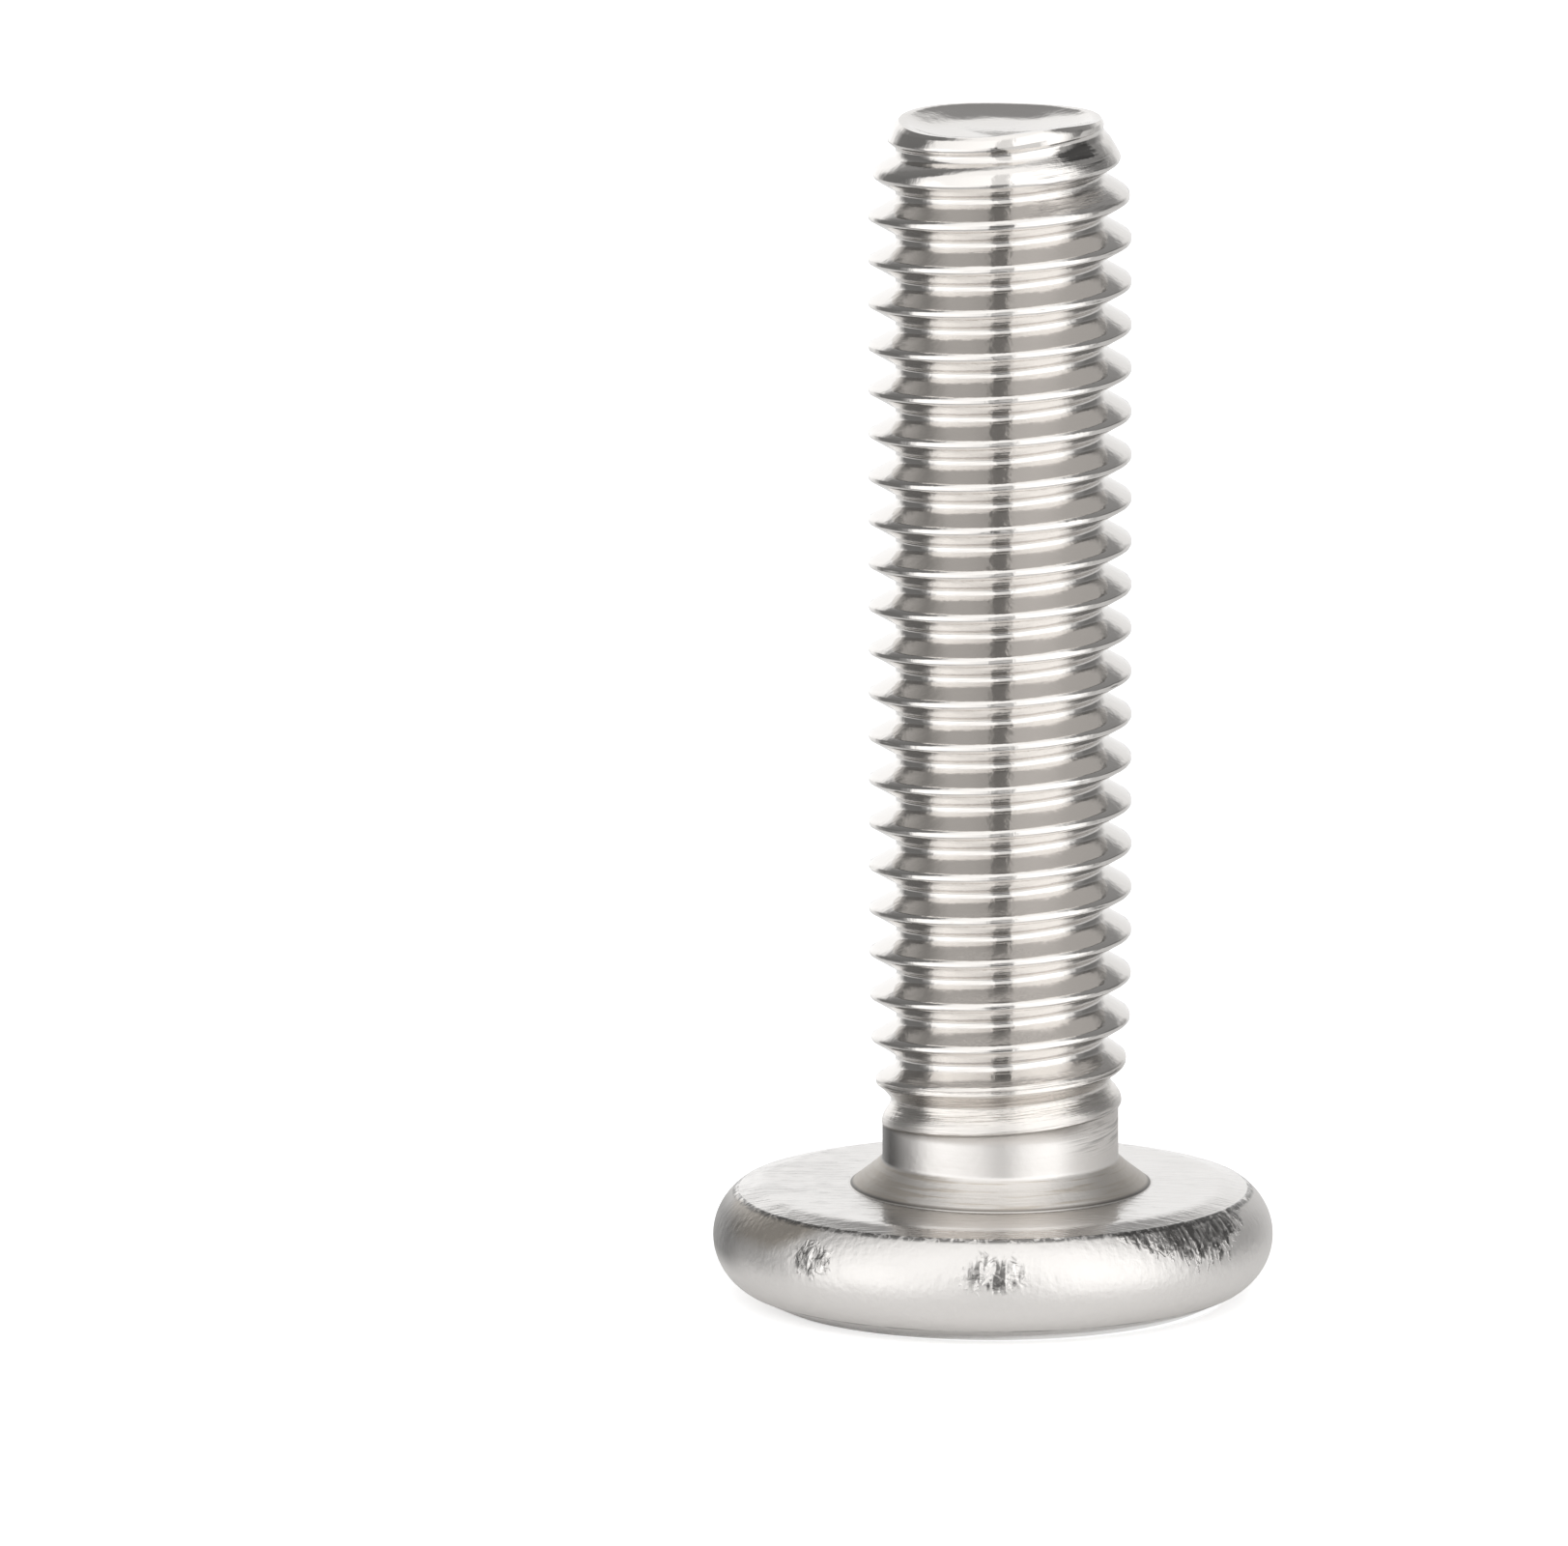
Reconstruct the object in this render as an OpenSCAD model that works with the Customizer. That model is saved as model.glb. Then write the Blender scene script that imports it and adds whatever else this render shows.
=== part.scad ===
// Flat-head machine screw with a chamfered head, a cross recess and a rolled right-hand thread.
// It stands on its head: the head's outer face lies in the plane z = 0, +Z runs up the shank to the
// tip, and the origin is the centre of the outer face.

/* [Head] */
// Largest diameter of the head, at the belly of its rounded side
head_d = 12.8; // [10.5:0.1:16]
// Height of the head, from the outer face to the bearing face
head_h = 2.6; // [2.2:0.1:3.6]
// Diameter of the flat outer face, inside the chamfer
face_d = 10.2; // [8.6:0.1:10.4]
// Angle between the chamfer and the outer face
chamfer_angle = 25; // [15:1:35]
// Radius of the rounded side, seen in section
side_r = 1.3; // [1.1:0.05:1.6]
// Height of the belly above the outer face
belly_h = 1.42; // [1.2:0.02:1.5]
// Diameter of the flat part of the bearing face
bearing_d = 10.6; // [9:0.1:10.8]
// Fall of the bearing face from its flat part to the rim
rim_angle = 12; // [5:1:25]
// How far cold heading left the head's axis from the shank's
head_offset = 0.17; // [0:0.01:0.25]

/* [Recess] */
// Span of the cross recess over two opposite wings, at the outer face
recess_span = 6.6; // [5.4:0.1:7.4]
// Width of a wing at the outer face
wing_w = 1.54; // [1.2:0.02:1.8]
// Depth of the wings at their inner end
wing_depth = 2.8; // [2.2:0.1:3.2]
// Slope of the wings' outer ends from the screw's axis
wing_slope = 26.5; // [20:0.5:28]
// Draft of the wings' side walls
wing_draft = 2.9; // [1:0.1:5]
// Radius of the rounded corner between two wings
corner_r = 0.5; // [0.2:0.05:0.7]
// Included angle of the point at the bottom of the recess
point_angle = 146; // [120:1:160]

/* [Shank] */
// Length under the head, from the bearing face to the tip
shank_l = 24.65; // [12:0.05:40]
// Diameter of the plain neck, which is the blank that the thread was rolled on
neck_d = 5.39; // [5.2:0.01:5.6]
// Length of the plain neck with its flare
neck_l = 1.4; // [1.1:0.1:4]
// Diameter of the flare where it meets the bearing face
flare_d = 6.9; // [6.2:0.1:8]
// Height of the flare
flare_h = 0.6; // [0.3:0.05:0.9]

/* [Thread] */
// Nominal diameter of the thread
thread_d = 6; // [5.9:0.05:6.2]
// Pitch of the thread
pitch = 1; // [0.8:0.05:1.25]
// How much smaller than nominal the crests are rolled
crest_allowance = 0.02; // [0:0.01:0.12]
// Height of the crest's middle at +X, above the outer face, within one turn
thread_phase = 0.51; // [0:0.01:1]
// Length over which the crests grow from the neck to their full height
crest_runout = 2.6; // [1:0.1:4]
// Length over which the groove reaches its full depth
root_runout = 0.45; // [0.2:0.05:1]

/* [Tip] */
// Diameter of the flat end ring of the tip
tip_d = 4.4; // [4:0.1:4.6]
// Length over which the rounded tip reaches the thread's full diameter
tip_l = 1.7; // [1:0.1:2.4]
// Diameter of the dish that thread rolling left in the end
dish_d = 3.9; // [3:0.1:3.95]
// Depth of the dish
dish_depth = 0.35; // [0.1:0.05:0.6]

/* [Hidden] */
nickel = [0.80, 0.79, 0.77];
$fn = 96;

head_r = head_d / 2;
face_r = face_d / 2;
bearing_r = bearing_d / 2;
neck_r = neck_d / 2;
tip_r = tip_d / 2;
screw_h = head_h + shank_l;
thread_start = head_h + neck_l;

// Past every face that it has to cut through
over = 1;

// Thread form: 60 degrees, an eighth of a pitch flat at the crest, and the rolled root's depth
flank_half_angle = 30;
thread_depth = pitch * cos(flank_half_angle) * 17 / 24;
crest_flat = pitch / 8;
flank_l = thread_depth * tan(flank_half_angle);
root_flat = pitch - crest_flat - 2 * flank_l;
root_bulge = 0.03;
crest_r = (thread_d - crest_allowance) / 2;
root_r = crest_r - thread_depth;

// The groove is rolled a hair below the neck, so its first turn starts on the neck's end face
seat = 0.02;
// Columns of points round one turn, and the smallest step between two points of a column
turn_steps = 36;
least_step = 0.06;

// One pitch of the thread along the axis, from the middle of a crest: [height, radius]
thread_profile = [
    [crest_flat / 2, crest_r],
    [crest_flat / 2 + flank_l, root_r],
    [pitch / 2, root_r - root_bulge],
    [pitch / 2 + root_flat / 2, root_r],
    [pitch - crest_flat / 2, crest_r]
];
profile_n = len(thread_profile);

function clamp01(t) = max(0, min(1, t));
function is_crest(k) = k == 0 || k == profile_n - 1;

// Radius that a point of the profile has at height z: it grows out of the neck over the run-out,
// and the rounded tip limits it
function grown(k, z) =
    let (length = is_crest(k) ? crest_runout : root_runout)
    neck_r - seat + (thread_profile[k][1] - neck_r + seat) * clamp01((z - thread_start) / length);
function tip_limit(z) =
    let (t = clamp01((z - screw_h + tip_l) / tip_l))
    tip_r + (crest_r - tip_r) * sqrt(1 - t * t);
function thread_radius(k, z) = min(grown(k, z), tip_limit(z));

// Point number q of column c: the columns climb one pitch in a turn, and the numbers run on from
// one pitch to the next
function turn_of(q) = floor(q / profile_n);
function place_in_turn(q) = q - profile_n * turn_of(q);
function point_z(c, q) =
    thread_phase + pitch * (c / turn_steps + turn_of(q)) + thread_profile[place_in_turn(q)][0];
function at(c, r, z) = [r * cos(360 * c / turn_steps), r * sin(360 * c / turn_steps), z];

// Lowest and highest point number of a column, clear of both end faces
rod_bottom = thread_start - pitch / 2;
function lowest(c, q = -profile_n) =
    point_z(c, q) > rod_bottom + least_step ? q : lowest(c, q + 1);
function highest(c, q) =
    point_z(c, q + 1) < screw_h - least_step ? highest(c, q + 1) : q;

// The rod's surface joins column c to column c + 1, and the last one to the first, one pitch up
first_q = [for (c = [0:turn_steps - 1]) lowest(c)];
last_q = [for (c = [0:turn_steps - 1]) highest(c, first_q[c])];
column_n = [for (c = [0:turn_steps - 1]) last_q[c] - first_q[c] + 3];
function sum_to(c) = c == 0 ? 0 : column_n[c - 1] + sum_to(c - 1);
column_start = [for (c = [0:turn_steps - 1]) sum_to(c)];

rod_points = [
    for (c = [0:turn_steps - 1], q = [first_q[c] - 1:last_q[c] + 1])
        q < first_q[c] ? at(c, neck_r - seat, rod_bottom)
        : q > last_q[c] ? at(c, tip_r, screw_h)
        : at(c, thread_radius(place_in_turn(q), point_z(c, q)), point_z(c, q))
];

// Index of point q seen from column c, where column turn_steps is column 0 one turn later
function first_of(c) = c < turn_steps ? first_q[c] : first_q[0] - profile_n;
function last_of(c) = c < turn_steps ? last_q[c] : last_q[0] - profile_n;
function index_of(c, q) =
    let (own = max(first_of(c) - 1, min(last_of(c) + 1, q)))
    column_start[c % turn_steps] + own - first_of(c) + 1;

rod_faces = [
    for (c = [0:turn_steps - 1])
        let (low = min(first_of(c), first_of(c + 1)) - 1, high = max(last_of(c), last_of(c + 1)))
        for (q = [low:high])
            let (
                a = index_of(c, q),
                b = index_of(c + 1, q),
                b_up = index_of(c + 1, q + 1),
                a_up = index_of(c, q + 1)
            )
            each [if (b != b_up) [b_up, b, a], if (a != a_up) [a_up, b_up, a]]
];
bottom_cap = [for (c = [0:turn_steps - 1]) column_start[c]];
top_cap = [for (c = [turn_steps - 1:-1:0]) column_start[c] + column_n[c] - 1];

// The rolled thread, from inside the neck to the end ring of the tip
module threaded_rod() {
    polyhedron(points = rod_points, faces = concat(rod_faces, [bottom_cap, top_cap]), convexity = 10);
}

// Half section of the head: the flat face, its chamfer and the bearing face bound the rounded side
module head_section() {
    out = head_r + over;
    intersection() {
        polygon([
            [0, 0],
            [face_r, 0],
            [out, (out - face_r) * tan(chamfer_angle)],
            [out, head_h - (out - bearing_r) * tan(rim_angle)],
            [bearing_r, head_h],
            [0, head_h]
        ]);
        union() {
            square([head_r - side_r, head_h]);
            translate([head_r - side_r, belly_h]) circle(side_r);
        }
    }
}

module head() {
    translate([-head_offset, 0, 0]) rotate_extrude() head_section();
}

// Plain neck, and the flare that stiffens its seat on the head
module neck() {
    rotate_extrude()
        polygon([
            [0, head_h / 2],
            [flare_d / 2, head_h / 2],
            [flare_d / 2, head_h],
            [neck_r, head_h + flare_h],
            [neck_r, thread_start],
            [0, thread_start]
        ]);
}

// One pair of opposite wings, wider at the face by the draft
module wing_pair() {
    half_face = wing_w / 2 + over * tan(wing_draft);
    half_floor = wing_w / 2 - wing_depth * tan(wing_draft);
    rotate([90, 0, 90])
        linear_extrude(height = recess_span + 2 * over, center = true)
            polygon([
                [-half_face, -over],
                [half_face, -over],
                [half_floor, wing_depth],
                [-half_floor, wing_depth]
            ]);
}

// The middle of the recess, which rounds the corners between the wings and narrows with depth
module recess_core() {
    side = wing_w + 2 * corner_r;
    floor_r = wing_w / 2;
    face_core_r = floor_r + corner_r;
    intersection() {
        translate([0, 0, -over])
            linear_extrude(height = wing_depth + over)
                difference() {
                    square(side, center = true);
                    for (x = [-1, 1], y = [-1, 1])
                        translate([x * side / 2, y * side / 2]) circle(corner_r);
                }
        rotate_extrude()
            polygon([
                [0, -over],
                [face_core_r * 1.5, -over],
                [face_core_r * 1.5, 0],
                [floor_r, wing_depth],
                [0, wing_depth]
            ]);
    }
}

// The cross recess, opening through the outer face
module recess() {
    point_h = (recess_span / 2 - wing_depth * tan(wing_slope)) / tan(point_angle / 2);
    floor_r = recess_span / 2 - wing_depth * tan(wing_slope);
    translate([-head_offset, 0, 0]) {
        intersection() {
            union() {
                wing_pair();
                rotate([0, 0, 90]) wing_pair();
                recess_core();
            }
            rotate_extrude()
                polygon([
                    [0, -over],
                    [recess_span / 2 + over * tan(wing_slope), -over],
                    [floor_r, wing_depth],
                    [0, wing_depth + point_h]
                ]);
        }
    }
}

// The shallow dish in the end of the tip
module dish() {
    dish_sphere_r = (pow(dish_d / 2, 2) + pow(dish_depth, 2)) / (2 * dish_depth);
    translate([0, 0, screw_h - dish_depth + dish_sphere_r]) sphere(dish_sphere_r);
}

module screw() {
    color(nickel)
        difference() {
            union() {
                head();
                neck();
                threaded_rod();
            }
            recess();
            dish();
        }
}

screw();
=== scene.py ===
import math
from types import SimpleNamespace

import bmesh
import bpy
from mathutils import Matrix, Vector, noise


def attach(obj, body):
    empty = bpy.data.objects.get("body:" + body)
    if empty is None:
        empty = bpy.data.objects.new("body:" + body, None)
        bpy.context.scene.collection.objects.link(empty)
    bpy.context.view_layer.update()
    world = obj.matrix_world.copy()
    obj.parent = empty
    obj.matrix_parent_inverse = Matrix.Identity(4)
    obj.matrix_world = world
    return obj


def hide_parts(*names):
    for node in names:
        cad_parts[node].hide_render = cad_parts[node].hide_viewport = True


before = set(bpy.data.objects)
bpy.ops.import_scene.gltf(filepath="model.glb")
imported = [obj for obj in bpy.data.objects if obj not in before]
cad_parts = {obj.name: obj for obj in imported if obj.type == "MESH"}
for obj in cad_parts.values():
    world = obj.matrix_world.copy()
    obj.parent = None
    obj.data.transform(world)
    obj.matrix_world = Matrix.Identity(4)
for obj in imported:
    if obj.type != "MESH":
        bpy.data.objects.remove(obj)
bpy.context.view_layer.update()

# All the sizes below are in millimetres, and the finished piece is scaled to metres
MM = 0.001
# Points that are nearer to each other than this are one point
MERGE_DISTANCE = 0.0004

# Head
HEAD_OFFSET = 0.17
HEAD_H = 2.6
HEAD_R = 6.4
SIDE_R = 1.3
BELLY_H = 1.42
FACE_R = 5.1
CHAMFER_ANGLE = math.radians(25)
BEARING_R = 5.3
RIM_ANGLE = math.radians(12)
# Radius of the opening in the bearing face, where the head joins the flare
OPENING_R = 3.85
# How far the side's two sharp edges lie outwards from the middle of its round
RIM_REACH = 0.7475
CHAMFER_REACH = 0.7104
SIDE_ROWS = 26
HEAD_STEPS = 480

# Cross recess
RECESS_REACH = 3.3
WING_HALF = 0.77
WING_DEPTH = 2.8
WING_SLOPE = math.radians(26.5)
WING_DRAFT = math.radians(2.9)
CORNER_R = 0.5
POINT_DEPTH = 0.58
# The edge of the recess is broken by this much along and across the wings
BROKEN_EDGE = (0.06, 0.05)
# The corners between the wings lose this share of their radius down to the bottom
CORNER_LOSS = 0.72

# Shank
SCREW_H = 27.25
NECK_R = 2.695
FLARE_R = 3.45
FLARE_H = 0.6
THREAD_START = 4.0
# How much higher the thread starts at the right than at the left
START_CLIMB = 0.5
CREST_R = 3.0
THREAD_DEPTH = 0.6234
CREST_HALF = 0.055
ROOT_LOW_R = 0.22
ROOT_HIGH_R = 0.11
THREAD_PHASE = 0.51
THREAD_STEPS = 96
TIP_R = 2.3

# The fold that rolling left in the lowest crest: its height and half length up the screw, and how
# wide, how much spread and how deep it is
FOLD_Z = 5.25
FOLD_HALF = 0.45
FOLD_WIDTH = 0.14
FOLD_SPREAD = 0.028
FOLD_DEPTH = 0.09

# Height above the bearing face, and the radius of the crest there
CREST_GROWTH = [(1.4, 2.70), (1.9, 2.76), (2.4, 2.85), (2.9, 2.87), (3.4, 2.945), (4.4, 2.98)]
CREST_GROWTH += [(5.6, 2.995), (7, 3.0)]
# Height above the start of the thread, and the radius of the root there
ROOT_GROWTH = [(0, 2.695), (0.15, 2.62), (0.5, 2.51), (0.9, 2.44), (1.3, 2.40), (1.9, 2.3766)]
# Depth below the end of the tip, and the radius that limits the thread there
TIP_LIMIT = [(0, 2.3), (0.07, 2.38), (0.2, 2.44), (0.4, 2.52), (0.8, 2.74), (1.2, 2.89)]
TIP_LIMIT += [(1.72, 2.97), (2.2, 2.995)]
# Radius against the rim's, and depth below it, of the rings of the dish in the tip
DISH_RINGS = [(0.97, 0.0), (0.93, 0.004), (0.91, 0.02), (0.86, 0.062), (0.8, 0.104), (0.72, 0.15)]
DISH_RINGS += [(0.62, 0.195), (0.5, 0.232), (0.38, 0.256), (0.26, 0.272), (0.14, 0.28), (0.05, 0.282)]
# Radius and height of the rings of the neck and its flare, down to the bearing face
NECK_RINGS = [(NECK_R, 3.94), (NECK_R, 3.7), (NECK_R, 3.45), (NECK_R, 3.29), (NECK_R + 0.004, 3.24)]
NECK_RINGS += [(NECK_R + 0.022, 3.205), (NECK_R + 0.06, 3.165), (2.95, 2.985), (3.15, 2.83), (3.3, 2.715)]
NECK_RINGS += [(3.4, 2.638), (3.432, 2.615), (FLARE_R, HEAD_H), (3.62, HEAD_H)]

# Marks that handling left on the head's side: angle, half width, height and strength of the small
# dents, and angle, half width and reach below the rim of the crumpled edge
SIDE_DENTS = [(-90, 12, 1.75, 0.85), (-131, 9, 1.8, 0.75), (31, 11, 1.6, 0.8), (166, 13, 1.85, 0.8)]
CRUMPLED_EDGE = [(-41, 36, 1.2), (112, 30, 0.9)]
DENT_HALF_H = 0.7
# How far the marks on the side go in, and how far the nicks in the crests do
MARK_DEPTH = 0.014
NICK_DEPTH = 0.09


def bell(x, middle, half_width):
    """1 at the middle, falling smoothly to 0 at the half width."""
    t = min(1.0, abs(x - middle) / half_width)
    return 1 - t * t * (3 - 2 * t)


def rise(x, start, end):
    """0 before the start, 1 past the end, and smooth between them."""
    t = max(0.0, min(1.0, (x - start) / (end - start)))
    return t * t * (3 - 2 * t)


def along(table, x):
    """The value at x of a table of (place, value), straight between its places."""
    if x <= table[0][0]:
        return table[0][1]
    for (x0, y0), (x1, y1) in zip(table, table[1:]):
        if x <= x1:
            return y0 + (y1 - y0) * (x - x0) / (x1 - x0)
    return table[-1][1]


def angle_from(a, b):
    """The signed angle from b to a, in degrees, for two angles in degrees."""
    return (a - b + 180) % 360 - 180


def angle_of(co, axis_x=0.0):
    """Angle of a point round the screw, or round another upright axis, in degrees."""
    return math.degrees(math.atan2(co.y, co.x - axis_x))


def on_circle(radius, angle, z):
    """The point at a radius, an angle in degrees and a height."""
    turn = math.radians(angle)
    return (radius * math.cos(turn), radius * math.sin(turn), z)


def chain(bm, points):
    """Vertices joined by edges, in the order given."""
    verts = [bm.verts.new(point) for point in points]
    return verts + [bm.edges.new(pair) for pair in zip(verts, verts[1:])]


def next_ring(bm, edges):
    """Extrudes a closed loop of edges and returns the new edges and vertices."""
    made = bmesh.ops.extrude_edge_only(bm, edges=edges)["geom"]
    new_edges = [e for e in made if isinstance(e, bmesh.types.BMEdge)]
    new_verts = [v for v in made if isinstance(v, bmesh.types.BMVert)]
    return new_edges, new_verts


def ring_edges(bm, test):
    """The boundary edges whose two ends pass the test."""
    return [e for e in bm.edges if e.is_boundary and all(test(v.co) for v in e.verts)]


def thread_section():
    """One pitch of the thread, from the middle of a crest up to the next: (height, radius)."""
    root = CREST_R - THREAD_DEPTH
    flank = math.sqrt(3)
    crest = [(0.0, 0.0), (0.025, 0.0005), (0.042, 0.005), (0.054, 0.018)]
    edge = [(height, CREST_R - drop) for height, drop in crest]
    slope = [(height, CREST_R - (height - CREST_HALF) * flank) for height in (0.07, 0.13, 0.2, 0.27)]
    low_middle = CREST_HALF + (ROOT_LOW_R + THREAD_DEPTH) / flank
    high_middle = 1 - CREST_HALF - (ROOT_HIGH_R + THREAD_DEPTH) / flank
    low = []
    for turn in (60, 48, 36, 24, 12):
        a = math.radians(turn)
        low.append((low_middle - ROOT_LOW_R * math.sin(a), root + ROOT_LOW_R * (1 - math.cos(a))))
    high = []
    for turn in (20, 40, 60):
        a = math.radians(turn)
        high.append((high_middle + ROOT_HIGH_R * math.sin(a), root + ROOT_HIGH_R * (1 - math.cos(a))))
    upper = [(1 - height, radius) for height, radius in reversed(slope)]
    upper += [(1 - height, radius) for height, radius in reversed(edge[1:])]
    return edge + slope + low + [((low_middle + high_middle) / 2, root)] + high + upper


def rim_height(angle):
    """How far the tip's rolled rim dips at the front left and folds up at the right."""
    dip = -0.12 * bell(angle_from(angle, -125), 0, 75)
    fold = 0.10 * bell(angle_from(angle, -52), 0, 55)
    return dip + fold + 0.02 * math.sin(math.radians(3 * angle + 40))


def start_height(angle):
    """Where the rolled thread begins: it climbs with the helix from a small step at the left."""
    turn = angle % 360
    if turn >= 180:
        return THREAD_START + START_CLIMB * (turn - 180) / 180
    return THREAD_START + START_CLIMB * (1 - rise(turn, 40, 176))


def thread_radius(z, start, depth):
    """Radius at height z of a point whose depth below the crest is a share of the thread's."""
    crest = along(CREST_GROWTH, z - HEAD_H)
    root = along(ROOT_GROWTH, z - start)
    radius = crest + (root - crest) * depth
    # The rounded tip limits the thread, and the two meet in a soft bend
    limit = along(TIP_LIMIT, SCREW_H - z)
    gap = limit - radius
    soft = 0.09 * rise(z, SCREW_H - 2.4, SCREW_H - 1.2) + 0.001
    radius += 0.5 * (gap - math.sqrt(gap * gap + soft * soft)) + 0.0005
    return min(radius, limit)


def shape_thread(bm):
    """Moves the even helix to its real form: run-out at the neck, rounded tip, and level ends."""
    for v in bm.verts:
        angle = angle_of(v.co)
        depth = (CREST_R - math.hypot(v.co.x, v.co.y)) / THREAD_DEPTH
        start = start_height(angle)
        from_crest = (v.co.z - THREAD_PHASE - angle / 360 + 0.5) % 1 - 0.5
        folded = bell(v.co.z, FOLD_Z, FOLD_HALF)
        z = max(start, min(SCREW_H, v.co.z))
        if 0.001 < abs(from_crest) < FOLD_WIDTH and z > start:
            z += math.copysign(FOLD_SPREAD * folded, from_crest)
        radius = thread_radius(z, start, depth)
        if z <= start:
            radius = NECK_R
        if z >= SCREW_H:
            radius = TIP_R
        z += rim_height(angle) * rise(z, SCREW_H - 0.7, SCREW_H)
        # Small nicks along the crests
        if depth < 0.06 and start < z < SCREW_H - 0.6:
            place = v.co.copy()
            nick = max(0.0, noise.noise(place * 5.3) - 0.42)
            radius += 0.006 * noise.noise(place * 3.1) - NICK_DEPTH * nick
        if depth < 0.0005:
            radius -= FOLD_DEPTH * folded
        v.co = on_circle(radius, angle, z)


def make_thread(bm):
    """The helix: one column of the section, spun a full turn while it climbs one pitch."""
    section = thread_section()
    turns = math.ceil(SCREW_H - THREAD_START) + 3
    low = THREAD_PHASE + math.floor(THREAD_START - THREAD_PHASE) - 1
    points = [(radius, 0, low + n + height) for n in range(turns) for height, radius in section]
    bmesh.ops.spin(
        bm,
        geom=chain(bm, points),
        cent=(0, 0, 0),
        axis=(0, 0, 1),
        dvec=(0, 0, 1 / THREAD_STEPS),
        angle=math.tau,
        steps=THREAD_STEPS,
        use_merge=False,
        use_duplicate=False,
    )
    shape_thread(bm)
    bmesh.ops.remove_doubles(bm, verts=bm.verts, dist=MERGE_DISTANCE)


def make_dish(bm):
    """The shallow dish that rolling left in the end of the tip."""
    edges = ring_edges(bm, lambda co: co.z > SCREW_H - 0.5)
    for share, depth in DISH_RINGS:
        edges, verts = next_ring(bm, edges)
        for v in verts:
            angle = angle_of(v.co)
            uneven = noise.noise(Vector((v.co.x * share, v.co.y * share, depth)) * 1.3)
            level = SCREW_H + rim_height(angle) * rise(share, 0.3, 0.9)
            level -= depth + 0.04 * uneven * (1 - share * share)
            v.co = on_circle(TIP_R * share * (1 + 0.02 * uneven), angle, level)
    rim = list({v for e in edges for v in e.verts})
    middle = sum((v.co for v in rim), Vector()) / len(rim)
    bmesh.ops.pointmerge(bm, verts=rim, merge_co=middle)


def make_neck(bm):
    """The plain neck and its flare. Returns the edges of the ring on the bearing face."""
    edges = ring_edges(bm, lambda co: co.z < THREAD_START + 0.6)
    for radius, height in NECK_RINGS:
        edges, verts = next_ring(bm, edges)
        for v in verts:
            v.co = on_circle(radius, angle_of(v.co), height)
    return edges


def head_section(bm):
    """Half section of the head, from the bearing face round the side to the outer face."""
    middle = HEAD_R - SIDE_R
    fall = math.tan(RIM_ANGLE)
    climb = math.tan(CHAMFER_ANGLE)
    rim_z = HEAD_H - (middle + RIM_REACH - BEARING_R) * fall
    chamfer_z = CHAMFER_REACH * climb
    bearing = [(radius, HEAD_H) for radius in (OPENING_R, 4.2, 4.7, 5.1, BEARING_R)]
    bearing += [(BEARING_R + out, HEAD_H - out * fall) for out in (0.15, 0.35)]
    top = math.atan2(rim_z - BELLY_H, RIM_REACH)
    low = math.atan2(chamfer_z - BELLY_H, CHAMFER_REACH)
    side = []
    for n in range(SIDE_ROWS + 1):
        a = top + (low - top) * n / SIDE_ROWS
        side.append((middle + SIDE_R * math.cos(a), BELLY_H + SIDE_R * math.sin(a)))
    under = [(FACE_R + out, out * climb) for out in (0.5, 0.25, 0)]
    under += [(4.8, 0), (4.3, 0), (3.8, 0)]
    return chain(bm, [(r - HEAD_OFFSET, 0, z) for r, z in bearing + side + under])


def mark_side(bm):
    """Dents the rounded side a little where the head was knocked."""
    for v in bm.verts:
        x = v.co.x + HEAD_OFFSET
        radius = math.hypot(x, v.co.y)
        if radius < 5.75 or not 0.3 < v.co.z < 2.55:
            continue
        angle = angle_of(v.co, -HEAD_OFFSET)
        mark = 0.1
        for middle, half_width, height, strength in SIDE_DENTS:
            across = bell(angle_from(angle, middle), 0, half_width)
            mark += strength * across * bell(v.co.z, height, DENT_HALF_H)
        for middle, half_width, reach in CRUMPLED_EDGE:
            depth = 2.7 - reach * bell(angle_from(angle, middle), 0, half_width)
            mark += 0.9 * rise(v.co.z, depth, depth + 0.3)
        rough = noise.noise(Vector((x * 4.2, v.co.y * 4.2, v.co.z * 3.0)))
        rough += 0.6 * noise.noise(Vector((x * 8.5, v.co.y * 8.5, v.co.z * 5.0)))
        inward = 1 - MARK_DEPTH * mark * (0.5 + rough) / radius
        v.co.x = x * inward - HEAD_OFFSET
        v.co.y *= inward


def add_head(bm):
    """Spins the head in a mesh of its own, which is quicker, and adds it to the screw."""
    head = bmesh.new()
    bmesh.ops.spin(
        head,
        geom=head_section(head),
        cent=(-HEAD_OFFSET, 0, 0),
        axis=(0, 0, 1),
        dvec=(0, 0, 0),
        angle=math.tau,
        steps=HEAD_STEPS,
        use_merge=True,
        use_duplicate=False,
    )
    mark_side(head)
    mesh = bpy.data.meshes.new("head")
    head.to_mesh(mesh)
    head.free()
    bm.from_mesh(mesh)
    bpy.data.meshes.remove(mesh)


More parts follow.
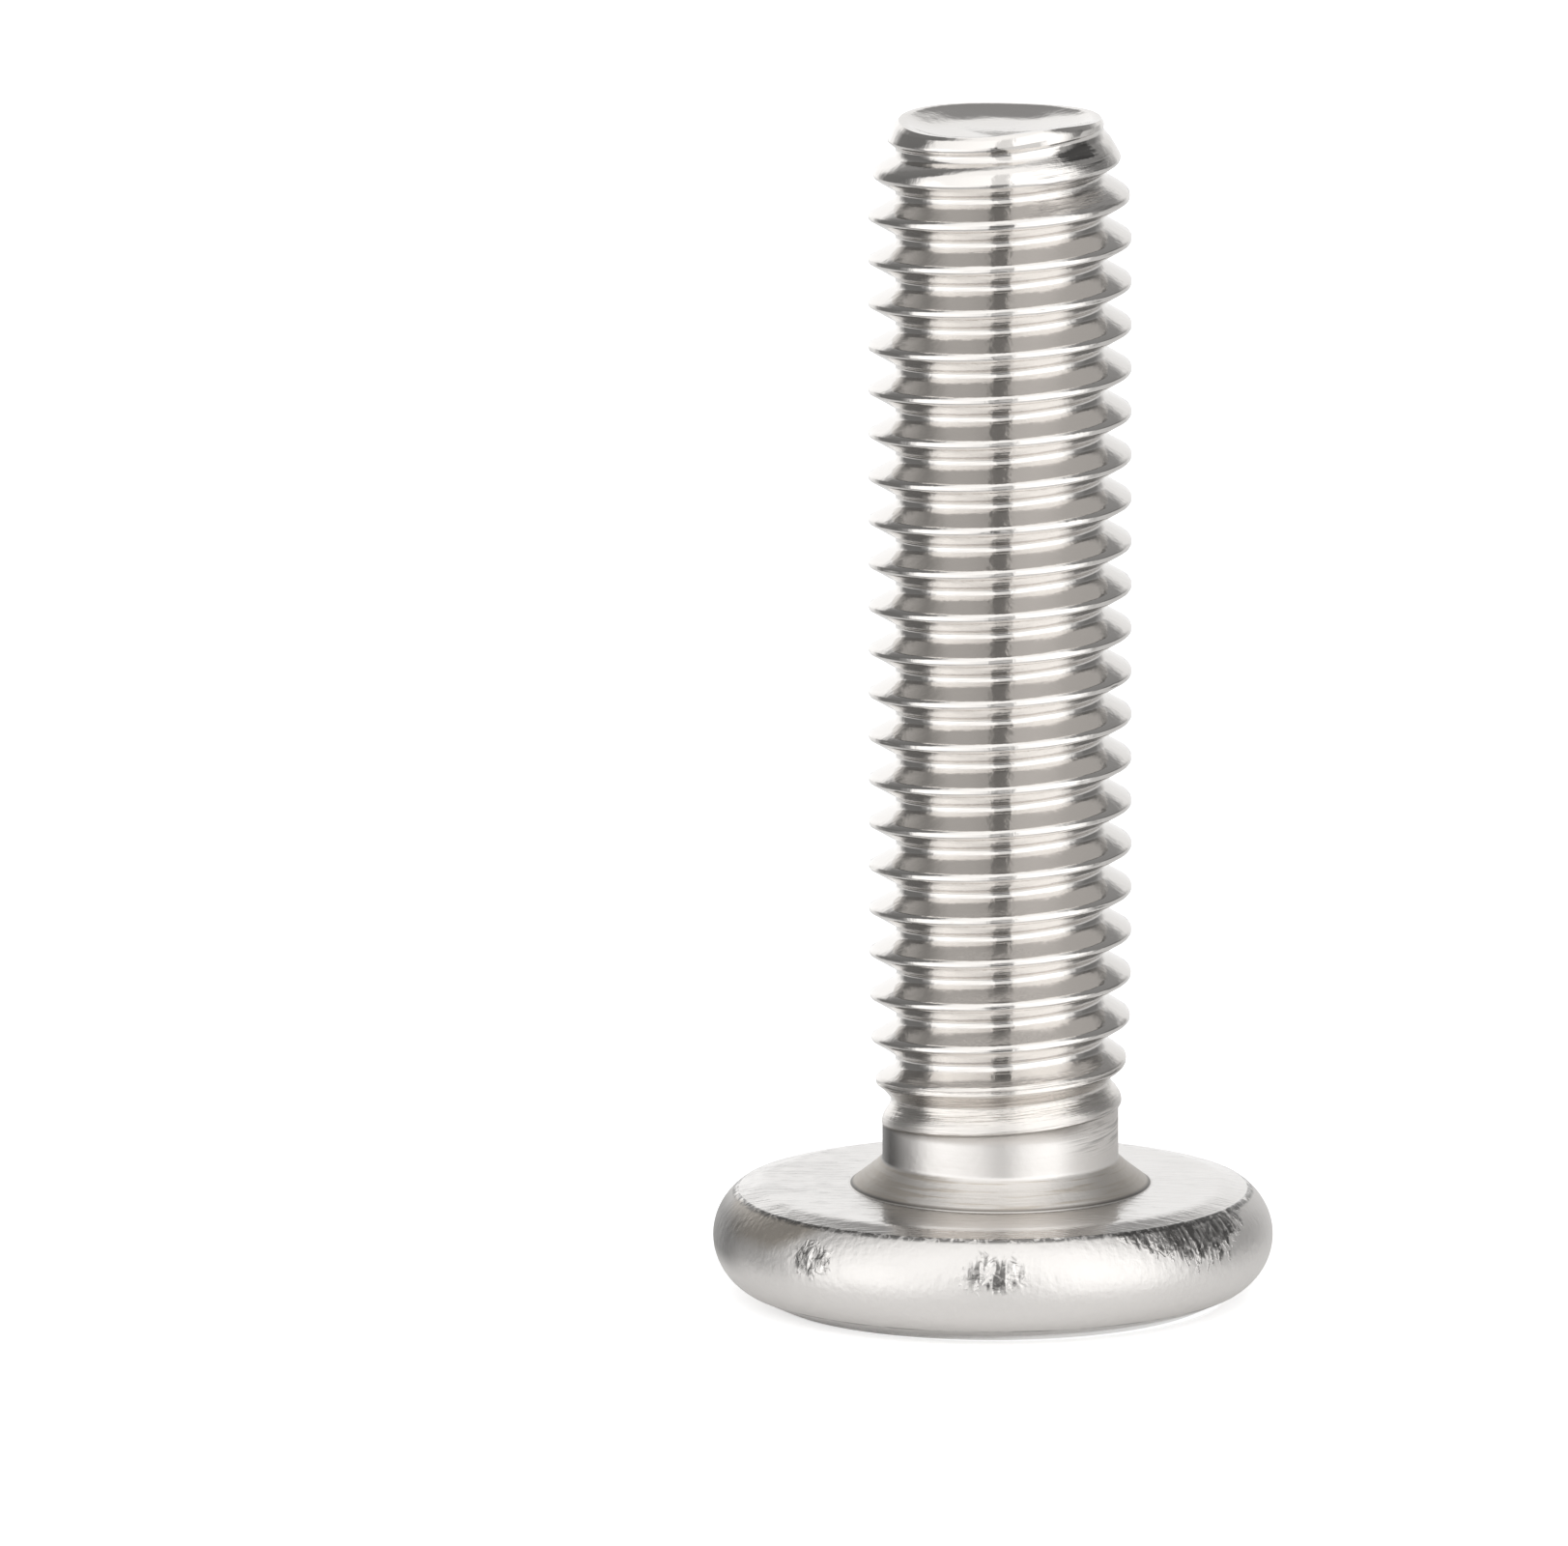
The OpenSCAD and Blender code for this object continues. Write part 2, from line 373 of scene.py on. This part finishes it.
def cross_outline(bm, reach, half, corner, height):
    """A closed cross-shaped loop with rounded inner corners. Returns its edges."""
    inner = half + corner
    quarter = [(reach, -half), (reach, half)]
    for n in range(1, 4):
        quarter.append((reach + (inner - reach) * n / 4, half))
    for n in range(7):
        a = math.radians(270 - 15 * n)
        quarter.append((inner + corner * math.cos(a), inner + corner * math.sin(a)))
    for n in range(1, 4):
        quarter.append((half, inner + (reach - inner) * n / 4))
    verts = []
    for turn in range(4):
        spun = Matrix.Rotation(turn * math.pi / 2, 3, "Z")
        for x, y in quarter:
            verts.append(bm.verts.new(spun @ Vector((x, y, height))))
    edges = [bm.edges.new(pair) for pair in zip(verts, verts[1:])]
    edges.append(bm.edges.new((verts[-1], verts[0])))
    bmesh.ops.translate(bm, verts=verts, vec=(-HEAD_OFFSET, 0, 0))
    return edges


def make_recess(bm):
    """The cross recess: loops at several depths bridged to walls, closed by a point."""
    face_edges = ring_edges(bm, lambda co: abs(co.z) < 0.001)
    loops = []
    for share in (0.0, 0.06, 0.35, 0.7, 1.0):
        depth = WING_DEPTH * share
        reach = RECESS_REACH - depth * math.tan(WING_SLOPE)
        half = WING_HALF - depth * math.tan(WING_DRAFT)
        if share == 0:
            reach += BROKEN_EDGE[0]
            half += BROKEN_EDGE[1]
        loops.append(cross_outline(bm, reach, half, CORNER_R * (1 - CORNER_LOSS * share), depth))
    bmesh.ops.triangle_fill(bm, use_beauty=True, edges=face_edges + loops[0], normal=(0, 0, -1))
    for upper, lower in zip(loops, loops[1:]):
        bmesh.ops.bridge_loops(bm, edges=upper + lower)
    edges, verts = next_ring(bm, loops[-1])
    bmesh.ops.pointmerge(bm, verts=verts, merge_co=(-HEAD_OFFSET, 0, WING_DEPTH + POINT_DEPTH))


def join_head_to_neck(bm, neck_edges):
    """Closes the bearing face between the neck's ring and the head's inner ring."""
    def on_head(co):
        radius = math.hypot(co.x + HEAD_OFFSET, co.y)
        return abs(co.z - HEAD_H) < 0.001 and radius > OPENING_R - 0.04

    bmesh.ops.bridge_loops(bm, edges=neck_edges + ring_edges(bm, on_head))


def sharpen_edges(bm):
    """Smooth shading everywhere but at the head's corners, the chamfer and the tip's rim."""
    for face in bm.faces:
        face.smooth = True
    for edge in bm.edges:
        ends = [v.co for v in edge.verts]
        turn = math.degrees(edge.calc_face_angle(0))
        on_head = ends[0].z < 2.7 and turn > 19
        at_tip = ends[0].z > SCREW_H - 0.3 and turn > 27
        around_chamfer = all(0.3 < co.z < 0.36 and math.hypot(co.x, co.y) > 5.5 for co in ends)
        level = abs(ends[0].z - ends[1].z) < 0.001
        if on_head or at_tip or (around_chamfer and level):
            edge.smooth = False


def machine_screw():
    """The whole screw as one closed skin: thread, dish, neck, head and recess."""
    bm = bmesh.new()
    make_thread(bm)
    make_dish(bm)
    neck_edges = make_neck(bm)
    add_head(bm)
    join_head_to_neck(bm, neck_edges)
    make_recess(bm)
    bmesh.ops.remove_doubles(bm, verts=bm.verts, dist=MERGE_DISTANCE)
    bmesh.ops.recalc_face_normals(bm, faces=bm.faces)
    sharpen_edges(bm)
    open_edges = sum(1 for e in bm.edges if not e.is_manifold)
    print("screw: faces", len(bm.faces), "open edges", open_edges)
    bmesh.ops.scale(bm, vec=(MM, MM, MM), verts=bm.verts)
    mesh = bpy.data.meshes.new("machine_screw")
    bm.to_mesh(mesh)
    bm.free()
    piece = bpy.data.objects.new("machine_screw", mesh)
    bpy.context.collection.objects.link(piece)
    return piece


class Wire:
    """One socket of a node tree. Arithmetic on it adds Math nodes."""

    def __init__(self, tree, socket):
        self.tree = tree
        self.socket = socket

    @classmethod
    def node(cls, tree, kind, settings=None, values=None, output=0):
        """Adds a node: its settings first, then the values or links of its sockets."""
        made = tree.nodes.new(kind)
        for name, setting in (settings or {}).items():
            if name == "stops":
                stops = made.color_ramp.elements
                while len(stops) < len(setting):
                    stops.new(1.0)
                for stop, (place, colour) in zip(stops, setting):
                    stop.position = place
                    stop.color = colour
            else:
                setattr(made, name, setting)
        for name, value in (values or {}).items():
            if isinstance(value, Wire):
                tree.links.new(value.socket, made.inputs[name])
            else:
                made.inputs[name].default_value = value
        return cls(tree, made.outputs[output]) if made.outputs else None

    def math(self, operation, *values):
        numbered = dict(enumerate((self,) + values))
        return Wire.node(self.tree, "ShaderNodeMath", {"operation": operation}, numbered)

    def swapped(self, operation, value):
        return Wire.node(self.tree, "ShaderNodeMath", {"operation": operation}, {0: value, 1: self})

    def __add__(self, other):
        return self.math("ADD", other)

    def __radd__(self, other):
        return self.swapped("ADD", other)

    def __sub__(self, other):
        return self.math("SUBTRACT", other)

    def __rsub__(self, other):
        return self.swapped("SUBTRACT", other)

    def __mul__(self, other):
        return self.math("MULTIPLY", other)

    def __rmul__(self, other):
        return self.swapped("MULTIPLY", other)

    def __abs__(self):
        return self.math("ABSOLUTE")

    def step(self, start, end):
        """0 where this is below the start, 1 past the end, and smooth between them."""
        values = {"Value": self, "From Min": start, "From Max": end, "To Min": 0.0, "To Max": 1.0}
        return Wire.node(self.tree, "ShaderNodeMapRange", {"interpolation_type": "SMOOTHSTEP"}, values)

    def fall(self, start, end):
        """1 where this is below the start, 0 past the end, and smooth between them."""
        return 1 - self.step(start, end)

    def band(self, start, full, end, gone):
        """Grows to 1 from the start to full, and falls to 0 from the end to gone."""
        return self.step(start, full) * self.fall(end, gone)

    def near(self, middle, full, gone):
        """1 within the distance full of the middle, 0 past the distance gone."""
        return abs(self - middle).fall(full, gone)


def parts_of(tree, vector):
    """The three numbers of a vector."""
    return [Wire.node(tree, "ShaderNodeSeparateXYZ", None, {0: vector}, n) for n in range(3)]


def joined(tree, x, y, z=0.0):
    """A vector of three numbers."""
    return Wire.node(tree, "ShaderNodeCombineXYZ", None, {0: x, 1: y, 2: z})


def noise_at(tree, vector, scale, detail, distortion=0.0):
    values = {"Vector": vector, "Scale": scale, "Detail": detail, "Distortion": distortion}
    return Wire.node(tree, "ShaderNodeTexNoise", None, values)


def mixed(tree, share, first, second):
    """The first colour where the share is 0, the second where it is 1."""
    return Wire.node(tree, "ShaderNodeMix", {"data_type": "RGBA"}, {0: share, 6: first, 7: second}, 2)


def light_path(tree, kind):
    return Wire.node(tree, "ShaderNodeLightPath", None, None, kind)


def grey(value):
    return (value, value, value, 1.0)


def bare_material(name):
    """A material without nodes, and its tree."""
    material = bpy.data.materials.new(name)
    material.use_nodes = True
    material.node_tree.nodes.clear()
    return material, material.node_tree


# Colours of the plate: clean nickel, its warm tone, also used for warm painted shade, and the dark of
# marks and folds, also used for painted shade
NICKEL = (0.72, 0.70, 0.68, 1.0)
WARM = (0.56, 0.515, 0.46, 1.0)
DARK = (0.14, 0.135, 0.13, 1.0)
# How high the finest relief of the plate is where its mask is 1
RELIEF_HEIGHT = 0.1


def places(tree):
    """Where a point of the screw is: millimetres, radians round the head, height up the thread."""
    vector = Wire.node(tree, "ShaderNodeTexCoord", None, None, "Object")
    vector = Wire.node(tree, "ShaderNodeVectorMath", {"operation": "SCALE"}, {0: vector, "Scale": 1 / MM})
    x, y, z = parts_of(tree, vector)
    x_head = x + HEAD_OFFSET
    angle = Wire.node(tree, "ShaderNodeMath", {"operation": "ARCTAN2"}, {0: y, 1: x_head})
    from_right = abs(angle)
    return SimpleNamespace(
        vector=vector,
        x=x,
        y=y,
        z=z,
        radius=(x * x + y * y).math("SQRT"),
        head_radius=(x_head * x_head + y * y).math("SQRT"),
        angle=angle,
        from_right=from_right,
        rolled=z - (THREAD_START + START_CLIMB) + from_right * (1 / math.tau),
    )


def zones(at):
    """Masks of the parts of the screw, 1 on each."""
    flare_top = HEAD_H + FLARE_H
    top = at.z.band(HEAD_H - 0.2, HEAD_H - 0.1, HEAD_H, HEAD_H + 0.03) * at.radius.step(3.46, 3.5)
    return SimpleNamespace(
        thread=at.rolled.step(0.1, 0.4),
        runout=at.rolled.band(-0.05, 0.03, 0.8, 1.5),
        neck=at.z.step(flare_top - 0.05, flare_top + 0.05) * at.rolled.fall(-0.05, 0.03),
        cone=at.z.band(HEAD_H, HEAD_H + 0.03, flare_top - 0.05, flare_top + 0.05),
        top=top,
        side=at.radius.step(5.2, 5.5) * (1 - top) * at.z.step(0.02, 0.2),
        chamfer=at.head_radius.step(FACE_R - 0.02, FACE_R + 0.02) * at.z.fall(0.3, 0.36),
    )


def grains(tree, at):
    """Noise for the plate: on the point itself, and drawn out round, up, along or across the screw."""
    # Counted from the right end both ways, so that the pattern has no seam at the left
    halfway = 0 - at.from_right
    turned = joined(tree, at.radius * 11, halfway * 1.6, at.z * 11)
    upright = joined(tree, halfway * 40, at.z * 1.5)
    climbing = joined(tree, halfway * 2.2, at.rolled * 17)
    slanted = joined(tree, at.x * 1.6 + at.y * 10, at.y * 2.0 - at.x * 0.5)
    return SimpleNamespace(
        cloud=noise_at(tree, at.vector, 1.3, 3.0),
        fine=noise_at(tree, at.vector, 6.0, 2.0),
        crumple=noise_at(tree, at.vector, 4.5, 3.0, 1.2),
        streak=noise_at(tree, turned, 1.0, 2.0),
        tick=noise_at(tree, upright, 1.0, 1.5),
        fold=noise_at(tree, climbing, 1.0, 4.0),
        scratch=noise_at(tree, slanted, 1.0, 3.0),
    )


def side_marks(at, on, grain):
    """Masks of the marks on the head: dents, crumpled edge and worn face; and of painted shade: the dark
    rim line, the warm shade at the front left, the dark left end and the dark edge lines.
    """
    dents = 0
    for middle, half_width, height, strength in SIDE_DENTS:
        across = at.angle.near(math.radians(middle), 0, math.radians(half_width))
        dents = strength * across * at.z.near(height, 0, DENT_HALF_H + 0.05) + dents
    dents = (1.15 * dents + 0.8 * (grain.crumple - 0.5)).step(0.3, 0.72)
    ragged = 1.2 * (grain.tick - 0.5) + 1.5 * (grain.crumple - 0.5)
    crumpled = 0
    for middle, half_width, reach in CRUMPLED_EDGE:
        across = at.angle.near(math.radians(middle), 0, math.radians(half_width))
        crumpled = (at.z - 2.78 + reach * across + 0.75 * ragged * across).step(0, 0.2) + crumpled
    marks = (dents + crumpled).math("MINIMUM", 1.0) * on.side
    # Painted shade: a dark line round the head's rim, broken up by noise
    rim = at.head_radius.band(5.8, 5.83, 5.9, 5.98) * at.z.step(2.3, 2.42)
    # Painted shade, warm and dark, over the upper side at the front left, where a screw lying beside it
    # shades it
    warm_left_shade = at.angle.near(math.radians(-152), 0.1, 0.6)
    # Painted shade: thin dark lines along the edges of the flat face and of the chamfer
    face_shade_line = at.head_radius.band(5.07, 5.09, 5.12, 5.14) * at.z.fall(0.05, 0.1)
    chamfer_shade_line = at.head_radius.band(5.78, 5.8, 5.83, 5.86) * at.z.fall(0.4, 0.5)
    return SimpleNamespace(
        dents=dents,
        crumpled=crumpled,
        marks=marks,
        # Spots where the painted shade in the marks is taken away
        bright_spots=marks * grain.crumple.step(0.5, 0.6),
        rim=rim * grain.crumple.step(0.36, 0.56),
        warm_left_shade=(at.z - 2.75 + 1.15 * warm_left_shade + 0.2 * (grain.crumple - 0.5)).step(0, 0.6) * on.side,
        # Painted shade: the left end of the side darkened, where a screw lying beside it shades it
        shaded_left_end=at.from_right.step(2.62, 2.86) * at.z.near(1.75, 0.3, 0.9) * on.side,
        worn_face=on.top * (0 - at.x).step(2.5, 4.8) * grain.cloud.step(0.4, 0.62),
        edge_shade_lines=face_shade_line + chamfer_shade_line,
    )


def shank_marks(at, on, grain):
    """Masks of the marks on the flare, neck and tip, and of the painted shade at the base and ends of the
    flare and down the left of the neck.
    """
    # A dark ragged patch just under the tip's rim at the front right
    tip_dark_patch = at.z.near(26.78, 0.04, 0.3) * at.angle.near(-0.76, 0.08, 0.36)
    tip_dark_patch = (tip_dark_patch + 1.3 * (grain.fold - 0.5) + 0.8 * (grain.crumple - 0.5)).step(0.35, 0.8)
    return SimpleNamespace(
        # Painted shade: a warm dark line at the base of the flare, where it meets the bearing face
        cone_foot_shade=on.cone * at.z.fall(2.62, 2.69),
        # Painted shade: the flare warmer and darker towards its left and right ends
        cone_end_shade=on.cone * abs(at.x).step(1.5, 3.1),
        # Painted reflection: a dark band down the left of the neck, where it mirrors a screw lying beside
        # it and its shadow
        neck_left_shade=on.neck * at.from_right.near(2.95, 0.16, 0.5),
        bright_neck=on.neck * at.angle.near(-0.35, 0.25, 0.75),
        worn_tip=at.z.band(25.3, 25.7, 26.5, 26.8) * at.angle.near(-0.75, 0.2, 0.6),
        tip_dark_patch=tip_dark_patch * at.z.step(26, 26.1),
    )


def nickel_finish():
    """Nickel plate on cold headed steel: bright where it was rolled, satin where it was headed."""
    material, tree = bare_material("nickel")
    at = places(tree)
    on = zones(at)
    grain = grains(tree, at)
    head = side_marks(at, on, grain)
    shank = shank_marks(at, on, grain)

    roughness = 0.28 + 0.1 * (grain.cloud - 0.5)
    roughness = roughness - 0.18 * on.thread - 0.12 * on.top + 0.17 * on.side
    roughness = roughness + 0.14 * on.cone + 0.12 * on.neck - 0.14 * on.chamfer
    roughness = roughness - 0.2 * head.marks - 0.08 * head.warm_left_shade + 0.05 * on.runout
    roughness = roughness + 0.3 * shank.bright_neck

    relief = 0.05 * grain.fine + (0.1 * grain.fine + 0.05 * grain.tick) * on.side
    relief = relief + (0.3 * grain.crumple + 0.15 * grain.tick) * head.marks
    relief = relief + (0.1 * on.cone + 0.03 * on.neck) * grain.streak
    relief = relief + (0.3 * on.runout + 0.3 * shank.worn_tip) * grain.fold
    relief = relief + 0.25 * shank.bright_neck * grain.fold * at.z.step(3.4, 3.8)
    relief = relief + 0.03 * on.top * grain.scratch.step(0.45, 0.75)
    relief = relief + 0.08 * head.worn_face * grain.scratch
    values = {"Strength": 1.0, "Distance": RELIEF_HEIGHT * MM, "Height": relief}
    bump = Wire.node(tree, "ShaderNodeBump", None, values)

    # Warm tone of the flare, run-out and thread, and warm painted shade at the front left of the side and
    # at the base and ends of the flare
    warm = on.cone * (0.25 + 0.9 * grain.streak.step(0.48, 0.68)) + 0.25 * on.runout
    warm = warm + 1.3 * head.warm_left_shade + 0.9 * shank.cone_foot_shade + 0.6 * shank.cone_end_shade + 0.14 * on.thread

    # Painted shade: dark dashes over the dents and the crumpled edge, which are real marks; the bright
    # spots take some of it away
    dent_shade_strokes = grain.tick.step(0.44, 0.57)
    dark = 0.95 * head.dents * dent_shade_strokes + head.crumpled * (0.45 + 0.5 * dent_shade_strokes)
    dark = dark.math("MINIMUM", 1.0) * on.side - 0.3 * head.bright_spots
    # Painted shade: the dark line at the rim and the dark left end of the side; the worn face is real
    # wear
    dark = dark + 0.85 * head.rim + 0.75 * head.shaded_left_end + 0.13 * head.worn_face
    # Painted shade along the edges of the flat face and the chamfer
    dark = dark + 0.55 * head.edge_shade_lines * grain.cloud.step(0.3, 0.6)
    # Painted shade at the base and ends of the flare and down the left of the neck
    dark = dark + 0.8 * shank.cone_foot_shade + 0.22 * shank.cone_end_shade + shank.neck_left_shade
    dark = dark + 0.4 * shank.bright_neck * grain.fold.step(0.5, 0.62) * at.z.step(3.5, 3.9)
    # Dark noise marks on the tip's front right, and the dark ragged patch under its rim
    dark = dark + 0.8 * shank.worn_tip * grain.fold.step(0.52, 0.68) + 0.9 * shank.tip_dark_patch

    values = {
        "Base Color": mixed(tree, dark, mixed(tree, warm, NICKEL, WARM), DARK),
        "Metallic": 1.0,
        "Roughness": roughness,
        "Normal": bump,
    }
    surface = Wire.node(tree, "ShaderNodeBsdfPrincipled", None, values)
    Wire.node(tree, "ShaderNodeOutputMaterial", None, {"Surface": surface})
    return material


# Azimuth in degrees, 0 towards the camera and growing to the right, and the light from there:
# soft boxes at both sides of a dark gap, a dark card at each side, and a white backdrop
EYE_LEVEL = [(-180, 1.05), (-170, 1.2), (-160, 1.3), (-147, 1.15), (-139, 0.55), (-132, 0.22)]
EYE_LEVEL += [(-100, 0.19), (-90, 0.42), (-82, 1.4), (-66, 1.75), (-35, 1.5), (-11, 1.2), (-7, 0.2)]
EYE_LEVEL += [(9, 0.18), (13, 1.4), (40, 1.75), (68, 1.7), (80, 1.25), (92, 0.34), (106, 0.2)]
EYE_LEVEL += [(128, 0.24), (142, 0.55), (152, 0.98), (180, 1.05)]
OVERHEAD = [(-180, 0.34), (-150, 0.32), (-140, 0.24), (-96, 0.2), (-84, 1.3), (-10, 1.5), (-6, 1.0)]
OVERHEAD += [(9, 1.0), (14, 1.7), (74, 1.6), (90, 0.28), (140, 0.32), (180, 0.34)]
TABLE = [(-180, 0.8), (-145, 0.8), (-125, 0.72), (-108, 0.53), (-93, 0.38), (-82, 0.55)]
TABLE += [(-65, 0.75), (-40, 0.74), (-14, 0.64), (-7, 0.28), (9, 0.3), (16, 0.88), (45, 0.94)]
TABLE += [(68, 0.88), (80, 0.78), (120, 0.71), (180, 0.8)]
# How far below the horizon, as a sine, the table's edge lies
TABLE_EDGE = [(-180, 0.16), (-146, 0.18), (-128, 0.25), (-100, 0.28), (-84, 0.4), (-68, 0.45)]
TABLE_EDGE += [(58, 0.45), (80, 0.3), (92, 0.14), (100, 0.06), (136, 0.06), (150, 0.16)]
TABLE_EDGE += [(180, 0.16)]
# Light through the gap at the height of the horizon, from straight above and from straight below
HORIZON = 0.75
ZENITH = 1.35
NADIR = 0.75


def round_light(tree, azimuth, table):
    """Light by azimuth, from a table of (degrees, value)."""
    # A ramp holds colours up to 1, so it holds half the light
    stops = [((turn + 180) / 360, grey(value / 2)) for turn, value in table]
    return Wire.node(tree, "ShaderNodeValToRGB", {"stops": stops}, {0: azimuth}) * 2


def studio_light(tree, x, y, z):
    """Light of the studio by direction from the screw."""
    azimuth = Wire.node(tree, "ShaderNodeMath", {"operation": "ARCTAN2"}, {0: x, 1: 0 - y})
    azimuth = azimuth * (1 / math.tau) + 0.5
    eye = round_light(tree, azimuth, EYE_LEVEL)
    high = round_light(tree, azimuth, OVERHEAD)
    low = round_light(tree, azimuth, TABLE)
    edge = round_light(tree, azimuth, TABLE_EDGE)
    front = y.fall(-0.7, -0.4)
    light = eye + (z + 0.23 * front).step(0.34, 0.5) * (high - eye)
    light = light + (z + edge).fall(-0.09, 0.09) * (low - light)
    horizon = z.band(-0.27, -0.19, -0.11, -0.05) * front * abs(x).fall(0.15, 0.2)
    light = light + horizon * (HORIZON - light)
    light = light + z.step(0.8, 0.95) * y.fall(0.0, 0.35) * (ZENITH - light)
    return light + z.fall(-1.0, -0.88) * (NADIR - light)


def studio_world():
    """The studio as the screw mirrors it, and plain white as the camera sees it."""
    world = bpy.data.worlds.new("studio")
    bpy.context.scene.world = world
    world.use_nodes = True
    tree = world.node_tree
    tree.nodes.clear()
    x, y, z = parts_of(tree, Wire.node(tree, "ShaderNodeTexCoord", None, None, "Generated"))
    light = studio_light(tree, x, y, z)
    strength = light + light_path(tree, "Is Camera Ray") * (1 - light)
    glow = Wire.node(tree, "ShaderNodeBackground", None, {"Color": grey(1.0), "Strength": strength})
    Wire.node(tree, "ShaderNodeOutputWorld", None, {"Surface": glow})


# Half the width of the table top, and how far it lies below the head, in metres
TABLE_HALF = 1.5
TABLE_DROP = 0.00002


def white_table():
    """White where it is seen, with the screw's shadow, and clear from below and under the head."""
    material, tree = bare_material("white_table")
    seen = light_path(tree, "Is Camera Ray")
    mirrored = light_path(tree, "Is Glossy Ray")
    x, y, z = parts_of(tree, Wire.node(tree, "ShaderNodeTexCoord", None, None, "Object"))
    radius = (x * x + y * y).math("SQRT")
    # Farther than this from the screw, the mirrored table is part of the studio's light
    far = mirrored * radius.step(8 * MM, 13 * MM)
    below = Wire.node(tree, "ShaderNodeNewGeometry", None, None, "Backfacing")
    hidden = radius.fall(FACE_R * MM, (FACE_R + 0.1) * MM)
    clear = far.math("MAXIMUM", below.math("MAXIMUM", hidden))
    matt = Wire.node(tree, "ShaderNodeBsdfDiffuse", None, {"Color": grey(0.85)})
    strength = seen * 0.55 + mirrored * 0.1
    glow = Wire.node(tree, "ShaderNodeEmission", None, {"Color": grey(1.0), "Strength": strength})
    white = Wire.node(tree, "ShaderNodeAddShader", None, {0: matt, 1: glow})
    nothing = Wire.node(tree, "ShaderNodeBsdfTransparent")
    surface = Wire.node(tree, "ShaderNodeMixShader", None, {0: clear, 1: white, 2: nothing})
    Wire.node(tree, "ShaderNodeOutputMaterial", None, {"Surface": surface})
    return material


def studio_floor():
    """A white table top that keeps the screw's soft shadow."""
    bm = bmesh.new()
    bmesh.ops.create_grid(bm, x_segments=1, y_segments=1, size=TABLE_HALF)
    mesh = bpy.data.meshes.new("table_top")
    bm.to_mesh(mesh)
    bm.free()
    mesh.materials.append(white_table())
    floor = bpy.data.objects.new("table_top", mesh)
    floor.location.z = -TABLE_DROP
    bpy.context.collection.objects.link(floor)


# The camera was fitted to the photograph's outline of the screw
AIM = Vector((-4.9266, 0, 12.1375))
CAMERA_REACH = 650.0
CAMERA_PITCH = math.radians(10.8)
CAMERA_ROLL = math.radians(0.113)
CAMERA_LENS = 654.74


def place_camera():
    data = bpy.data.cameras.new("camera")
    data.lens = CAMERA_LENS
    data.sensor_width = 36
    data.clip_start = 0.01
    data.clip_end = 20
    camera = bpy.data.objects.new("camera", data)
    bpy.context.collection.objects.link(camera)
    forward = Vector((0, math.cos(CAMERA_PITCH), -math.sin(CAMERA_PITCH)))
    right = Vector((1, 0, 0))
    up = right.cross(forward)
    c = math.cos(CAMERA_ROLL)
    s = math.sin(CAMERA_ROLL)
    axes = Matrix((c * right - s * up, s * right + c * up, -forward)).transposed()
    camera.matrix_world = Matrix.Translation((AIM - CAMERA_REACH * forward) * MM) @ axes.to_4x4()
    bpy.context.scene.camera = camera


place_camera()
screw = machine_screw()
screw.data.materials.append(nickel_finish())
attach(screw, "root")
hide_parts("screw")
studio_world()
studio_floor()
bpy.context.scene.view_settings.view_transform = "Standard"
